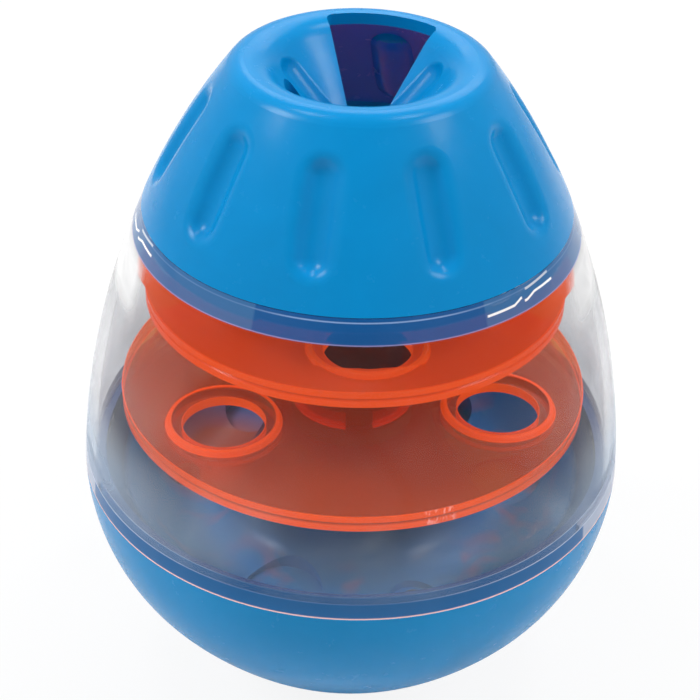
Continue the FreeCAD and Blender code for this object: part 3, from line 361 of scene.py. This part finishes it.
def blue_plastic(name, colour, painted_light_tints=()):
    """Glossy opaque moulded plastic: a faint flow mottle, fine orange peel and light scuffs.

    Each tint is painted light or shade: a function that gives its share over the surface, and the colour that
    it brings.
    """
    shade = new_shading(name)
    flow = shade.noise(38.0, detail=4.0, roughness=0.6, distortion=0.6)
    darker = tuple(channel * (1 - MOTTLE) for channel in colour[:3]) + (1.0,)
    lighter = tuple(min(channel * (1 + MOTTLE), 1.0) for channel in colour[:3]) + (1.0,)
    tinted = shade.blend(shade.spread(flow, 0.3, 0.7), darker, lighter)
    for share, tint in painted_light_tints:
        tinted = shade.blend(share(shade), tinted, tint)
    wear = shade.noise(260.0, detail=5.0, roughness=0.65)
    waves = shade.noise(70.0, detail=2.0)
    peel = shade.noise(900.0, detail=2.0)
    normal = shade.bump(waves, distance=0.00003)
    normal = shade.bump(peel, distance=0.000004, after=normal)
    surface = shade.add("ShaderNodeBsdfPrincipled", {
        "Base Color": tinted, "Roughness": shade.spread(wear, 0.35, 0.75, to_low=0.20, to_high=0.30),
        "Normal": normal, "IOR": 1.45, "Specular IOR Level": 0.16,
        "Subsurface Weight": 0.06, "Subsurface Scale": 0.002,
    })
    return shade.finish(surface)


def bowl_wall(shade):
    """1 on the bowl's inner wall close under the seam, where shade is painted."""
    x, y, z = shade.axes()
    inside = shade.spread(shade.length(x, y), *BOWL_WALL_RADII)
    return shade.times(inside, shade.spread(z, *BOWL_WALL_HEIGHTS))


def floor_edge(shade):
    """1 on the inner floor's outer edge and on the ring that the clear shell locks on, where shade is
    painted.
    """
    x, y, z = shade.axes()
    return shade.spread(shade.length(x, y), *FLOOR_EDGE_RADII)


def near_post(shade):
    """The hill under the post, which the discs keep dim."""
    x, y, z = shade.axes()
    return shade.spread(shade.length(x, y), *HILL_RADII, to_low=HILL_DIMMING, to_high=0.0)


def warm_light(shade):
    """Where light that has come through the discs falls in the trough: one patch, faint clouds all round."""
    x, y, z = shade.axes()
    off = shade.length(shade.calc("SUBTRACT", x, PATCH_X), shade.calc("SUBTRACT", y, PATCH_Y))
    patch = shade.spread(off, *PATCH_RADII, to_low=PATCH_SHARE, to_high=0.0)
    clouds = shade.noise(75.0, detail=2.0, distortion=0.8)
    clouds = shade.spread(clouds, *CLOUD_CUT, to_high=CLOUD_SHARE)
    trough = shade.between(shade.length(x, y), TROUGH_INNER, TROUGH_OUTER, TROUGH_SOFT)
    return shade.most(patch, shade.times(clouds, trough))


def inside_cap(shade):
    """1 on the cap's inner wall, whose faces look towards the axis and slope downward; a bluer tone is
    painted there for light that bounces round inside the cap.
    """
    geometry = shade.add("ShaderNodeNewGeometry")
    x, y, z = shade.parts(geometry.outputs["Position"])
    along_x, along_y, upward = shade.parts(geometry.outputs["True Normal"])
    outward = shade.calc("ADD", shade.times(x, along_x), shade.times(y, along_y))
    downward = shade.calc("LESS_THAN", upward, INNER_CAP_SLOPE)
    return shade.times(shade.calc("LESS_THAN", outward, 0.0), downward)


def slot_turn(shade, x, y, slots):
    """Degrees from the middle of the nearest lock slot."""
    return shade.times(shade.fold(x, y, slots["bearing"], slots["count"]), 180 / math.pi)


def in_slot(shade, turn, slots):
    return shade.between(turn, -slots["half"], slots["half"], SLOT_SOFT)


def slot_painted_highlights(shade, turn, z):
    """Painted highlights along the outlines of the lugs, seen through the collar near one end of each slot.
    """
    marks = []
    for first, last, bend, bend_end, low, high, weight in SLOT_PAINTED_HIGHLIGHTS:
        height = shade.spread(turn, bend, bend_end, to_low=low, to_high=high)
        line = shade.spread(shade.apart(z, height), *SLOT_HIGHLIGHT_HALF_WIDTHS, to_high=weight)
        marks.append(shade.times(shade.between(turn, first, last, SLOT_HIGHLIGHT_SOFT), line))
    return shade.most(*marks)


def collar_tint(shade, x, y, z):
    """Painted blue of the cap's ring, seen through and mirrored in the collar, with paler slots, a painted
    highlight line near its top and a painted highlight along its lower edge.
    """
    turn = slot_turn(shade, x, y, COLLAR_SLOTS)
    tint = shade.blend(in_slot(shade, turn, COLLAR_SLOTS), COLLAR_PAINTED_RING_BLUE, COLLAR_PAINTED_SLOT_BLUE)
    strength = shade.spread(shade.calc("ABSOLUTE", turn), *COLLAR_LINE_TURNS, to_low=COLLAR_LINE_FAINT)
    line = shade.times(shade.between(z, *COLLAR_LINE, BAND_SOFT), strength)
    tint = shade.blend(line, tint, COLLAR_PAINTED_HIGHLIGHT)
    tint = shade.blend(shade.between(z, *COLLAR_EDGE, BAND_SOFT), tint, COLLAR_EDGE_PAINTED_HIGHLIGHT)
    return shade.blend(slot_painted_highlights(shade, turn, z), tint, WHITE)


def foot_tint(shade, x, y, z):
    """Painted blue of the base's ring, seen through and mirrored in the foot, with pale slots, a painted
    highlight line at its top and a pink painted highlight along its lower edge.
    """
    turn = slot_turn(shade, x, y, FOOT_SLOTS)
    tint = shade.blend(in_slot(shade, turn, FOOT_SLOTS), FOOT_PAINTED_RING_BLUE, FOOT_PAINTED_SLOT_GREY)
    strength = shade.calc("ABSOLUTE", turn)
    strength = shade.spread(strength, *FOOT_LINE_TURNS, to_low=1.0, to_high=FOOT_LINE_FAINT)
    line = shade.times(shade.between(z, *FOOT_LINE, BAND_SOFT), strength)
    tint = shade.blend(line, tint, FOOT_PAINTED_HIGHLIGHT)
    outside = shade.spread(shade.length(x, y), *FOOT_EDGE_RADII)
    edge = shade.times(shade.between(z, *FOOT_EDGE, BAND_SOFT), outside)
    return shade.blend(edge, tint, FOOT_EDGE_PAINTED_HIGHLIGHT_PINK)


def cloudiness(shade, z, height):
    """How much haze the wall shows, height being 0 low down on it and 1 high up."""
    patches = shade.noise(34.0, roughness=0.6, distortion=1.0)
    patches = shade.spread(patches, 0.3, 0.7, to_low=0.5, to_high=1.5)
    haze = shade.spread(height, 0.0, 1.0, to_low=HAZE_LOW, to_high=HAZE_HIGH)
    aslant = shade.facing()
    flare = shade.between(z, FLARE_FOOT, COLLAR_FOOT, FLARE_SOFT)
    flare = shade.times(flare, shade.spread(aslant, *FLARE_FACING))
    return shade.times(
        patches,
        haze,
        shade.spread(aslant, *HAZE_FACING, to_low=1.0, to_high=HAZE_ASLANT),
        shade.spread(z, *HAZE_TOP_HEIGHTS, to_low=1.0, to_high=HAZE_TOP),
        shade.spread(flare, 0.0, 1.0, to_low=1.0, to_high=HAZE_FLARE),
    )


def clear_plastic(name):
    """Clear moulded plastic, a little cloudy, whose locking rims are painted with the blue of the rings
    inside them and with painted highlights.
    """
    shade = new_shading(name)
    x, y, z = shade.axes()
    grain = shade.stretched((1.0, 1.0, 6.0))
    scratches = shade.noise(420.0, detail=6.0, roughness=0.7, distortion=1.5, place=grain)
    glass = shade.add("ShaderNodeBsdfGlass", {
        "Color": shade.blend(shade.spread(z, *GLASS_HEIGHTS), GLASS_LOW, GLASS_HIGH),
        "Roughness": shade.spread(scratches, 0.4, 0.8, to_low=0.03, to_high=0.08), "IOR": GLASS_IOR,
    })
    height = shade.spread(z, *HAZE_HEIGHTS)
    haze_colour = shade.blend(height, HAZE_LOW_COLOUR, HAZE_HIGH_COLOUR)
    haze = shade.add("ShaderNodeBsdfDiffuse", {"Color": haze_colour})
    wall = shade.either(cloudiness(shade, z, height), glass, haze)

    # The locking rims: painted blue of the rings inside and painted highlights, laid over most of the glass
    collar = shade.between(z, COLLAR_FOOT, COLLAR_TOP, BAND_SOFT)
    foot = shade.between(z, FOOT_END, FOOT_TOP, BAND_SOFT)
    tint = shade.blend(foot, collar_tint(shade, x, y, z), foot_tint(shade, x, y, z))
    blue = shade.add("ShaderNodeBsdfDiffuse", {"Color": tint})
    gloss = shade.add("ShaderNodeBsdfGlossy", {"Color": WHITE, "Roughness": 0.05})
    rim = shade.either(shade.gloss_share(), blue, gloss)
    share = shade.most(shade.times(collar, COLLAR_SHARE), shade.times(foot, FOOT_SHARE))
    seen = shade.either(share, wall, rim)
    through = shade.add("ShaderNodeBsdfTransparent", {"Color": SHADOW_TINT})
    return shade.finish(shade.either(shade.rays("Shadow", "Diffuse"), seen, through))


def off_nearest(shade, x, y, bearing, reach, count):
    """How far a point lies from the axis of the nearest of the holes or marks that repeat round the disc."""
    turn = shade.fold(x, y, bearing, count)
    out = shade.length(x, y)
    along = shade.calc("SUBTRACT", shade.times(out, shade.calc("COSINE", turn)), reach)
    return shade.length(along, shade.times(out, shade.calc("SINE", turn)))


def painted_rim_glow_share(shade, x, y, z, disc, rim_radius):
    """How much painted glow a disc's rim has: less where it is seen aslant and along the line round it."""
    rim = shade.spread(shade.length(x, y), rim_radius - 2 * SKIN, rim_radius - SKIN)
    square_on = shade.spread(shade.facing(), *RIM_FACING)
    off_line = shade.apart(z, disc["top"] - RIM_LINE_DROP)
    return shade.times(rim, square_on, shade.spread(off_line, *RIM_LINE_WIDTHS, to_low=RIM_LINE_SHARE))


def painted_edge_glow_share(shade, x, y, z, disc):
    """How much painted glow the ribs round a disc's holes, the holes' bores and the ends of the hub's fingers
    have.
    """
    off_hole = off_nearest(shade, x, y, disc["bearing"], disc["reach"], HOLES)
    rib = shade.between(off_hole, disc["ring"] - RIB_WIDTH + RIB_INSET, disc["ring"] + SKIN, EDGE_SOFT)
    drop_heights = [disc["top"] - drop for drop in RIB_DROPS]
    rib = shade.times(rib, shade.spread(z, *drop_heights, to_low=RIB_FOOT_SHARE))
    bore = shade.spread(off_hole, disc["hole"] + SKIN, disc["hole"] + EDGE_SOFT)
    hub = shade.spread(shade.length(x, y), HUB_RADIUS + SKIN, HUB_RADIUS)
    end_heights = [disc["top"] - HUB_HANG + lift for lift in FINGER_LIFTS]
    return shade.most(rib, bore, shade.times(hub, shade.spread(z, *end_heights)))


def mark_share(shade, x, y, disc):
    """The rings that the ejector pins left, two of them beside each hole."""
    off_mark = off_nearest(shade, x, y, disc["bearing"] + 180 / MARKS, disc["reach"], MARKS)
    ring = shade.between(off_mark, MARK_RADIUS - MARK_HALF_WIDTH, MARK_RADIUS + MARK_HALF_WIDTH, EDGE_SOFT)
    return shade.times(ring, disc["marks"])


def scuff_share(shade, x, y, disc):
    """Fine pale scratches on one part of a disc's rim."""
    first, last = (math.radians(bearing - 90) for bearing in disc["scuff"])
    part = shade.between(shade.calc("ARCTAN2", y, x), first, last, SCUFF_SOFT)
    scratches = shade.noise(1400.0, roughness=0.6, place=shade.stretched((1.0, 1.0, 0.5)))
    return shade.times(part, shade.spread(scratches, *SCUFF_CUT), SCUFF_SHARE)


def orange_plastic(name, disc, rim_radius):
    """See-through fluorescent orange plastic, which gathers light; its glow is painted (emission) over the
    plate and stronger at its edges.
    """
    shade = new_shading(name)
    x, y, z = shade.axes()
    rim = painted_rim_glow_share(shade, x, y, z, disc, rim_radius)
    painted_glow = shade.most(rim, painted_edge_glow_share(shade, x, y, z, disc))
    dye = shade.blend(painted_glow, disc["body"], PAINTED_GLOW_EDGE_ORANGE)
    strength = shade.spread(painted_glow, 0.0, 1.0, to_low=disc["light"], to_high=disc["painted_rim_glow"])
    solid = shade.spread(painted_glow, 0.0, 1.0, to_low=disc["dye"], to_high=EDGE_DYE)
    if disc["marks"]:
        mark = mark_share(shade, x, y, disc)
        dye = shade.blend(mark, dye, MARK_COLOUR)
        strength = shade.times(strength, shade.spread(mark, 0.0, 1.0, to_low=1.0, to_high=MARK_GLOW))
        solid = shade.most(solid, mark)
    if disc["scuff"]:
        dye = shade.blend(shade.times(scuff_share(shade, x, y, disc), rim), dye, SCUFF_COLOUR)
    spill = shade.spread(shade.rays("Diffuse"), 0.0, 1.0, to_low=1.0, to_high=SPILL)

    flow = shade.noise(55.0, detail=4.0, roughness=0.6, distortion=1.2)
    normal = shade.bump(shade.noise(60.0, detail=2.0), distance=0.00003)
    clear = shade.add("ShaderNodeBsdfTransparent", {"Color": disc["clear"]})
    dyed = shade.add("ShaderNodeBsdfDiffuse", {"Color": dye, "Normal": normal})
    # Painted glow: emission over the plate, stronger at its edges
    light = shade.add("ShaderNodeEmission", {"Color": PAINTED_GLOW_ORANGE, "Strength": shade.times(strength, spill)})
    lit = shade.add("ShaderNodeAddShader", {0: dyed, 1: light})
    roughness = shade.spread(flow, 0.3, 0.7, to_low=0.08, to_high=0.18)
    gloss = shade.add("ShaderNodeBsdfGlossy", {"Color": WHITE, "Roughness": roughness, "Normal": normal})
    share = shade.times(shade.gloss_share(), DISC_GLOSS)
    shade.owner.cycles.emission_sampling = "NONE"
    return shade.finish(shade.either(share, shade.either(solid, clear, lit), gloss))


def painted_shade_orange(name):
    """The same see-through orange, darker as painted shade where little light gets to it."""
    shade = new_shading(name)
    clear = shade.add("ShaderNodeBsdfTransparent", {"Color": SLEEVE_CLEAR})
    dyed = shade.add("ShaderNodeBsdfDiffuse", {"Color": SLEEVE_SHADED_DYE})
    gloss = shade.add("ShaderNodeBsdfGlossy", {"Color": WHITE, "Roughness": 0.15})
    body = shade.either(SLEEVE_DYE_SHARE, clear, dyed)
    return shade.finish(shade.either(shade.gloss_share(), body, gloss))


def cast_iron(name):
    """Dark grey painted casting with a sandy surface."""
    shade = new_shading(name)
    grain = shade.noise(1500.0, detail=4.0, roughness=0.6)
    surface = shade.add("ShaderNodeBsdfPrincipled", {
        "Base Color": shade.blend(shade.noise(90.0), IRON_DARK, IRON_PALE),
        "Roughness": 0.62, "Metallic": 0.35, "Normal": shade.bump(grain, distance=0.0002),
    })
    return shade.finish(surface)


def zinc_steel(name, dark, pale):
    """Zinc-plated steel with fine turning marks, between two colours."""
    shade = new_shading(name)
    turning = shade.noise(2500.0, roughness=0.6, place=shade.stretched((1.0, 1.0, 9.0)))
    surface = shade.add("ShaderNodeBsdfPrincipled", {
        "Base Color": shade.blend(shade.noise(300.0), dark, pale),
        "Roughness": shade.spread(turning, 0.3, 0.7, to_low=0.25, to_high=0.4),
        "Metallic": 1.0, "Normal": shade.bump(turning, distance=0.00002),
    })
    return shade.finish(surface)


def paint(node, material):
    """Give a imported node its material."""
    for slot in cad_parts[node].material_slots:
        slot.material = material


def make_camera():
    """The camera at the photograph's place, with its slight roll."""
    data = bpy.data.cameras.new("camera")
    data.sensor_width = SENSOR
    data.lens = FOCAL_PIXELS * SENSOR / IMAGE_WIDTH
    data.clip_start = CLIP_NEAR
    data.clip_end = CLIP_FAR
    camera = bpy.data.objects.new("camera", data)
    bpy.context.scene.collection.objects.link(camera)
    level = math.cos(CAMERA_PITCH)
    ahead = Vector((math.sin(CAMERA_YAW) * level, math.cos(CAMERA_YAW) * level, -math.sin(CAMERA_PITCH)))
    aside = ahead.cross(Vector((0, 0, 1))).normalized()
    above = aside.cross(ahead)
    right = math.cos(CAMERA_ROLL) * aside + math.sin(CAMERA_ROLL) * above
    up = math.cos(CAMERA_ROLL) * above - math.sin(CAMERA_ROLL) * aside
    turn = Matrix((right, up, -ahead)).transposed()
    camera.matrix_world = Matrix.Translation(CAMERA_PLACE) @ turn.to_4x4()
    bpy.context.scene.camera = camera


def make_world():
    """Soft white surroundings: plain white where they are seen, dimmer as a light.

    In reflections they are brighter from the sides and from behind than from the front and above.
    """
    world = bpy.data.worlds.new("studio")
    bpy.context.scene.world = world
    shade = Nodes(world, "ShaderNodeOutputWorld")

    def light(strength):
        return shade.add("ShaderNodeBackground", {"Color": WHITE, "Strength": strength})

    x, y, z = shade.parts(shade.add("ShaderNodeTexCoord").outputs["Generated"])
    side = shade.spread(shade.most(shade.calc("ABSOLUTE", x), y), SIDE_START, SIDE_FULL)
    mirrored = shade.either(side, light(WORLD_GLOSS), light(SIDE_GLOSS))
    dim = shade.either(shade.rays("Glossy"), light(WORLD_LIGHT), mirrored)
    shade.finish(shade.either(shade.rays("Camera", "Transmission"), dim, light(1.0)))


def make_floor():
    """A plain white floor that keeps the object's shadow."""
    mesh = bpy.data.meshes.new("floor")
    half = FLOOR_SIZE / 2
    corners = [(-half, -half, 0), (half, -half, 0), (half, half, 0), (-half, half, 0)]
    mesh.from_pydata(corners, [], [(0, 1, 2, 3)])
    floor = bpy.data.objects.new("floor", mesh)
    bpy.context.scene.collection.objects.link(floor)
    shade = new_shading("floor_white")
    diffuse = shade.add("ShaderNodeBsdfDiffuse", {"Color": FLOOR_GREY})
    white = shade.add("ShaderNodeEmission", {"Color": WHITE, "Strength": 1.0})
    share = shade.times(shade.rays("Camera", "Transmission"), FLOOR_WHITENESS)
    mesh.materials.append(shade.finish(shade.either(share, diffuse, white)))


def make_lamp(name, place, width, height, watts):
    """A rectangular lamp that shines at the object's middle."""
    data = bpy.data.lights.new(name, "AREA")
    data.shape = "RECTANGLE"
    data.size = width
    data.size_y = height
    data.energy = watts
    lamp = bpy.data.objects.new(name, data)
    bpy.context.scene.collection.objects.link(lamp)
    lamp.location = place
    lamp.rotation_mode = "QUATERNION"
    lamp.rotation_quaternion = (Vector(LAMP_TARGET) - Vector(place)).to_track_quat("-Z", "Y")


bpy.context.scene.view_settings.view_transform = "Standard"
bpy.context.scene.cycles.transparent_max_bounces = MAX_LAYERS
make_camera()
make_world()
make_floor()
for lamp in LAMPS:
    make_lamp(*lamp)

blue_base = blue_plastic("blue_base", BASE_BLUE)
steel = zinc_steel("steel", ZINC_DARK, ZINC_PALE)
floor_painted_light_tints = [(near_post, DIM_HILL_BLUE), (floor_edge, DIM_EDGE_BLUE), (warm_light, PAINTED_WARM_LIGHT_BROWN)]
finishes = {
    "top_cap": blue_plastic("blue_cap", CAP_BLUE, [(inside_cap, INNER_CAP_PAINTED_BOUNCE_BLUE)]),
    "base_shell": blue_plastic("blue_bowl", BASE_BLUE, [(bowl_wall, DIM_EDGE_BLUE)]),
    "base_floor": blue_plastic("blue_floor", FLOOR_BLUE, floor_painted_light_tints),
    "centre_post": blue_base,
    "post_nut": blue_base,
    "clear_shell": clear_plastic("clear_plastic"),
    "spacer_sleeve": painted_shade_orange("orange_sleeve"),
    "base_weight": cast_iron("iron_weight"),
    "weight_washer": steel,
    "weight_screw": steel,
    "post_screw": steel,
    "floor_screws": zinc_steel("shaded_steel", SHADED_ZINC_DARK, SHADED_ZINC_PALE),
}
for node, disc in DISCS.items():
    rim_radius = max(vertex.co.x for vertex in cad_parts[node].data.vertices)
    finishes[node] = orange_plastic(f"orange_{node}", disc, rim_radius)
for node, material in finishes.items():
    paint(node, material)
